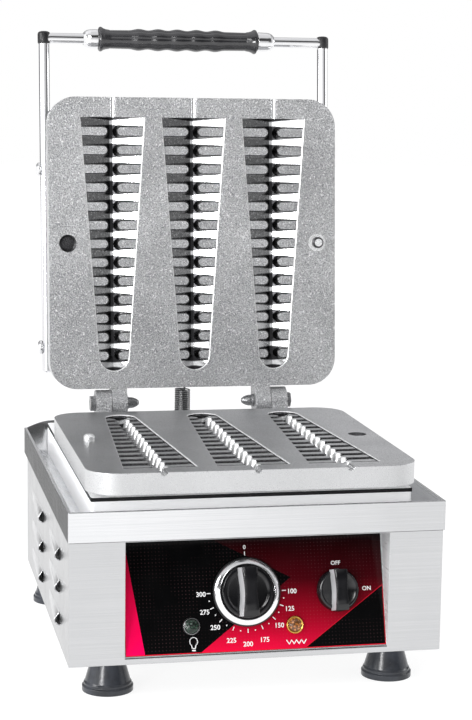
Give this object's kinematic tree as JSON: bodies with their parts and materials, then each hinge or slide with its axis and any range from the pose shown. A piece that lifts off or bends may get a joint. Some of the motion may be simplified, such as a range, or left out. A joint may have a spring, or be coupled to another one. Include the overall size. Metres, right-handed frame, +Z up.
{
  "type": "stick waffle iron",
  "caption": "Countertop stick waffle iron: hinged ribbed mould plates over a drip tray and steel box with thermostat and switch, lid raised by a U handle.",
  "frame": {"origin": "centre of the footprint box on the table plane", "axes": "+X to the operator's right, +Y from the control panel to the back, +Z up"},
  "size_m": [0.3174, 0.3862, 0.542],
  "materials": {
    "body_steel": "satin polished",
    "tray_steel": "satin polished",
    "plinth_steel": "satin polished",
    "panel_steel": "satin",
    "inner_steel": "mill",
    "cover_steel": "satin polished",
    "panel_graphic": "gloss printed film",
    "cast_lower": "bead blasted casting",
    "cast_upper": "bead blasted casting",
    "dowel_steel": "turned",
    "heater_steel": "oxidised",
    "fixings": "zinc plated",
    "rubber": "matte",
    "hinge_steel": "plated",
    "spring_steel": "drawn wire",
    "blanket": "fibre blanket",
    "control_plastic": "moulded",
    "cable_plastic": "moulded",
    "bezel_chrome": "polished",
    "lamp_brass": "polished",
    "lens_green": "clear moulding",
    "lens_amber": "clear moulding",
    "knob_black": "gloss",
    "handle_chrome": "polished",
    "grip_black": "gloss"
  },
  "bodies": {
    "base": {"amber_lamp_body": "lamp_brass", "amber_lamp_lens": "lens_amber", "base_hinge_ear_left": "cast_lower", "base_hinge_ear_right": "cast_lower", "body_shell": "body_steel", "bottom_plate": "inner_steel", "cable_gland": "cable_plastic", "control_panel": "panel_steel", "counter_spring": "spring_steel", "fascia_decal": "panel_graphic", "foot_front_left": "rubber", "foot_front_right": "rubber", "foot_rear_left": "rubber", "foot_rear_right": "rubber", "foot_screw_front_left": "fixings", "foot_screw_front_right": "fixings", "foot_screw_rear_left": "fixings", "foot_screw_rear_right": "fixings", "green_lamp_body": "control_plastic", "green_lamp_lens": "lens_green", "hinge_bolt_left": "hinge_steel", "hinge_bolt_right": "hinge_steel", "hinge_nut_left": "hinge_steel", "hinge_nut_right": "hinge_steel", "lower_clamp_bolt_left": "fixings", "lower_clamp_bolt_right": "fixings", "lower_dowel": "dowel_steel", "lower_heater": "heater_steel", "lower_heater_clamp": "inner_steel", "lower_insulation": "blanket", "lower_mould_plate": "cast_lower", "overflow_tray": "tray_steel", "plinth_box": "plinth_steel", "rear_panel": "inner_steel", "spring_eye_lower": "inner_steel", "switch_body": "control_plastic", "terminal_block": "control_plastic", "thermostat_bezel": "bezel_chrome", "thermostat_body": "control_plastic"},
    "lid": {"arm_bolt_left_inner": "handle_chrome", "arm_bolt_left_outer": "handle_chrome", "arm_bolt_right_inner": "handle_chrome", "arm_bolt_right_outer": "handle_chrome", "ferrule_left": "handle_chrome", "ferrule_right": "handle_chrome", "handle_grip": "grip_black", "handle_rod": "handle_chrome", "lid_hinge_ear_left": "cast_upper", "lid_hinge_ear_right": "cast_upper", "spring_eye_upper": "fixings", "upper_clamp_bolt_left": "fixings", "upper_clamp_bolt_right": "fixings", "upper_cover": "cover_steel", "upper_dowel": "dowel_steel", "upper_heater": "heater_steel", "upper_heater_clamp": "inner_steel", "upper_insulation": "blanket", "upper_mould_plate": "cast_upper"},
    "thermostat_knob": {"thermostat_knob": "knob_black"},
    "switch_knob": {"switch_knob": "knob_black"}
  },
  "joints": [
    {"name": "lid_hinge", "type": "hinge", "parent": "base", "child": "lid", "pos_m": [0, 0.1097, 0.1904], "axis": [1, 0, 0], "range_deg": [0, 95], "deforming": ["counter_spring"]},
    {"name": "thermostat_turn", "type": "hinge", "parent": "base", "child": "thermostat_knob", "pos_m": [-0.0073, -0.1701, 0.08154], "axis": [0, 0.9558, -0.294], "range_deg": [0, 270]},
    {"name": "switch_turn", "type": "hinge", "parent": "base", "child": "switch_knob", "pos_m": [0.069, -0.17057, 0.08001], "axis": [0, 0.9558, -0.294], "range_deg": [0, 90]}
  ]
}
